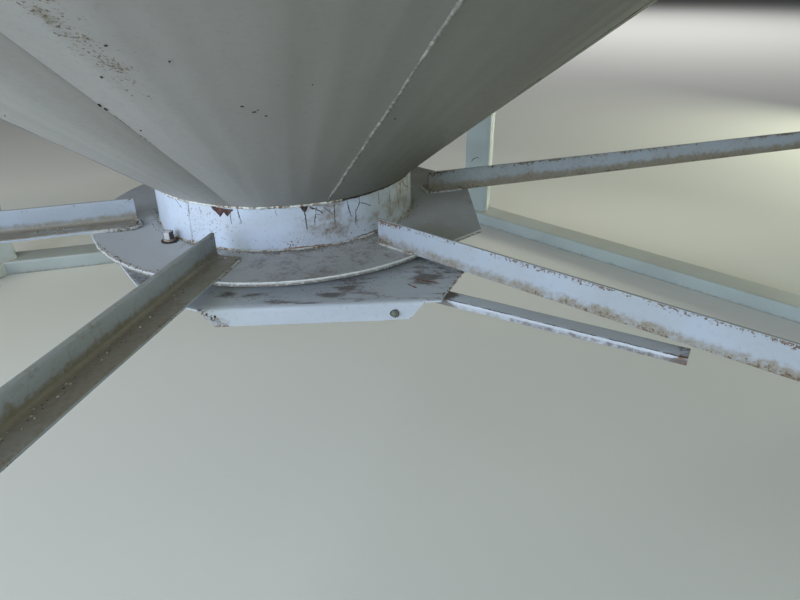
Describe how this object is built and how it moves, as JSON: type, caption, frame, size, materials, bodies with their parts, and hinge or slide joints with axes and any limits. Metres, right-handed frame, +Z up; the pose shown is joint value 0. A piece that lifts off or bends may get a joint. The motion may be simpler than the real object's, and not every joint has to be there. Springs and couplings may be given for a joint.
{
  "type": "grain silo hopper bottom",
  "caption": "Steel hopper bottom of a grain silo: welded cone with a short outlet and gate pan, angle braces to six square legs, a flat base ring, and a rim ring for the barrel.",
  "frame": {"origin": "on the ground, on the axis of the cone", "axes": "+Z up along the cone's axis, +X towards the first leg"},
  "size_m": [4.4197, 4.3674, 2.4013],
  "materials": {
    "cone_paint": "weathered grey paint over welded sheet, rust freckles",
    "collar_paint": "pale blue-white paint, cracked and chipped, rust at the foot",
    "plate_paint": "dirty grey paint with dust and rust",
    "pan_paint": "dusty grey paint, rusty edges",
    "brace_paint": "pale blue-grey paint, rust along the edges, dirt in the corner",
    "leg_paint": "pale blue-grey paint, light weathering",
    "rim_paint": "weathered grey paint"
  },
  "bodies": {
    "root": {"outlet_collar": "collar_paint", "flange_plate": "plate_paint", "outlet_throat": "plate_paint", "gate_pan": "pan_paint", "gate_arm": "pan_paint", "cone_gore_1": "cone_paint", "cone_gore_2": "cone_paint", "cone_gore_3": "cone_paint", "cone_gore_4": "cone_paint", "cone_gore_5": "cone_paint", "cone_gore_6": "cone_paint", "cone_gore_7": "cone_paint", "cone_gore_8": "cone_paint", "cone_gore_9": "cone_paint", "cone_gore_10": "cone_paint", "rim_ring_1": "rim_paint", "rim_ring_2": "rim_paint", "rim_ring_3": "rim_paint", "rim_ring_4": "rim_paint", "rim_ring_5": "rim_paint", "rim_ring_6": "rim_paint", "leg_1": "leg_paint", "leg_2": "leg_paint", "leg_3": "leg_paint", "leg_4": "leg_paint", "leg_5": "leg_paint", "leg_6": "leg_paint", "base_beam_1": "leg_paint", "base_beam_2": "leg_paint", "base_beam_3": "leg_paint", "base_beam_4": "leg_paint", "base_beam_5": "leg_paint", "base_beam_6": "leg_paint", "brace_1": "brace_paint", "brace_2": "brace_paint", "brace_3": "brace_paint", "brace_4": "brace_paint", "brace_5": "brace_paint", "brace_6": "brace_paint"}
  },
  "joints": []
}
